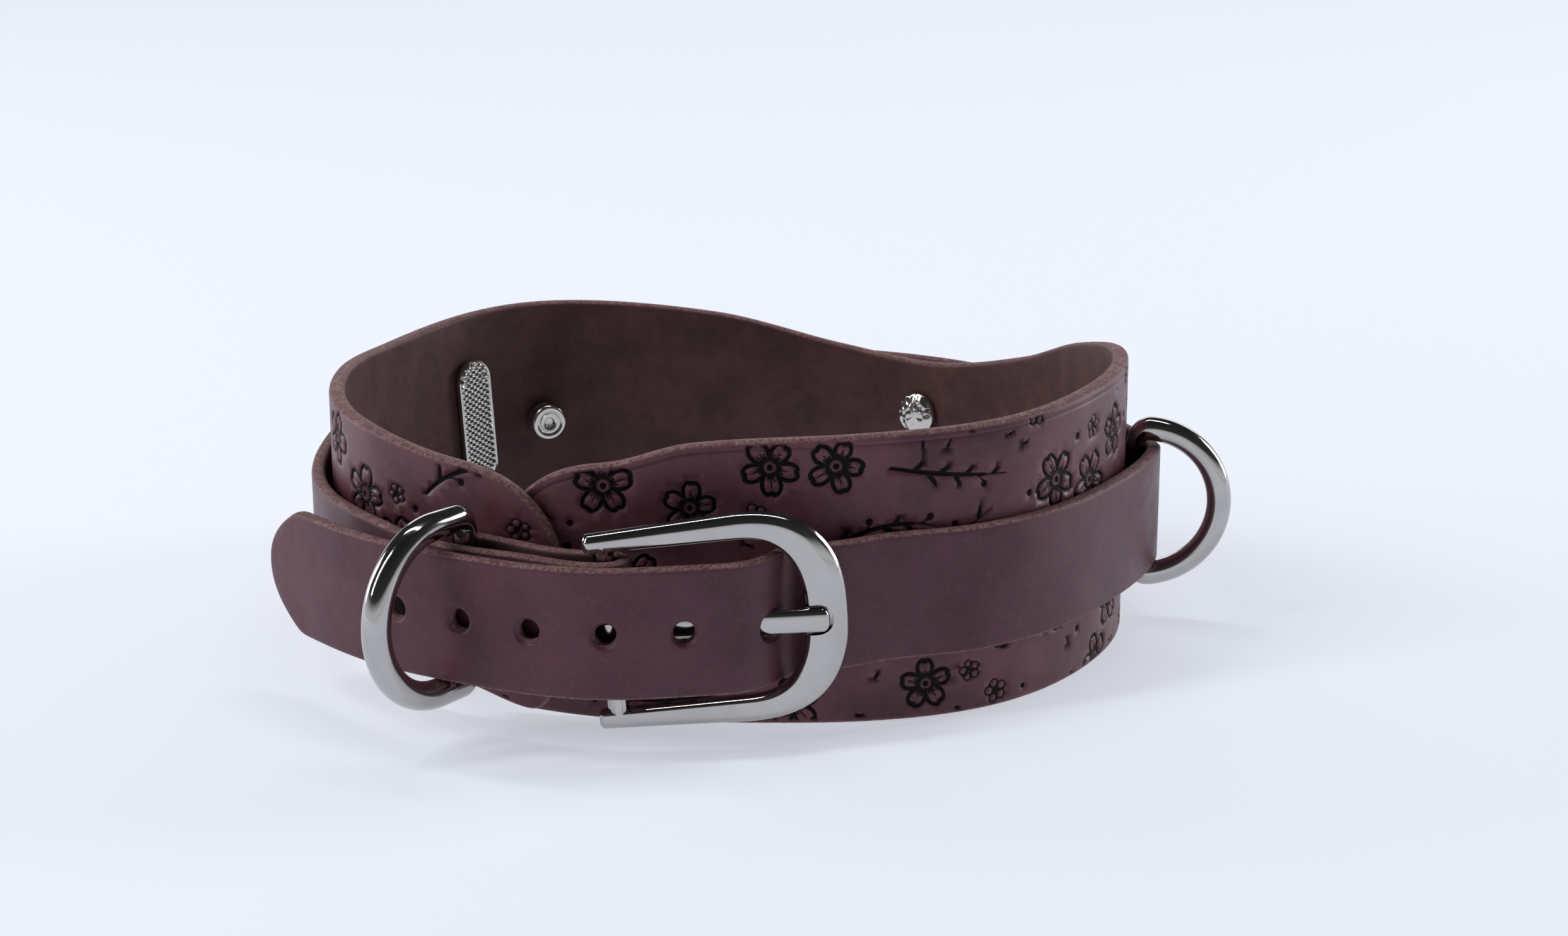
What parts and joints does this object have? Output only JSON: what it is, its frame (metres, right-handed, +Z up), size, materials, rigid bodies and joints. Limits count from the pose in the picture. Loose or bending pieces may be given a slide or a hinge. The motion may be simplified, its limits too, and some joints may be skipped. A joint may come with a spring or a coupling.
{
  "type": "dog collar",
  "caption": "Wide burnished leather dog collar with engraved flowers, closed by a narrower buckled strap; a D ring keeps the strap's free end and another takes the lead.",
  "frame": {"origin": "on the floor, under the middle of the collar's bounding box", "axes": "+Z up, the buckle at the front (-Y), the lead ring at the right (+X)"},
  "size_m": [0.1944, 0.1774, 0.0584],
  "materials": {
    "band_leather": "burnished, engraved, with a soft sheen",
    "strap_leather": "burnished, smooth, with raw waxed edges",
    "nickel": "polished nickel plate",
    "rivet_metal": "nickel, knurled or hammered"
  },
  "bodies": {
    "collar": {"band": "band_leather", "strap": "strap_leather", "buckle_frame": "nickel", "buckle_prong": "nickel", "keeper_ring": "nickel", "rivet_left": "rivet_metal", "rivet_right": "rivet_metal", "rivet_lead_ring": "rivet_metal", "knurled_plate": "rivet_metal"},
    "lead_ring": {"lead_ring": "nickel"}
  },
  "joints": [
    {"name": "lead_ring_swing", "type": "hinge", "parent": "collar", "child": "lead_ring", "pos_m": [0.07713, 0.00051, 0.026], "axis": [0, 0, 1], "range_deg": [-45, 45]}
  ]
}
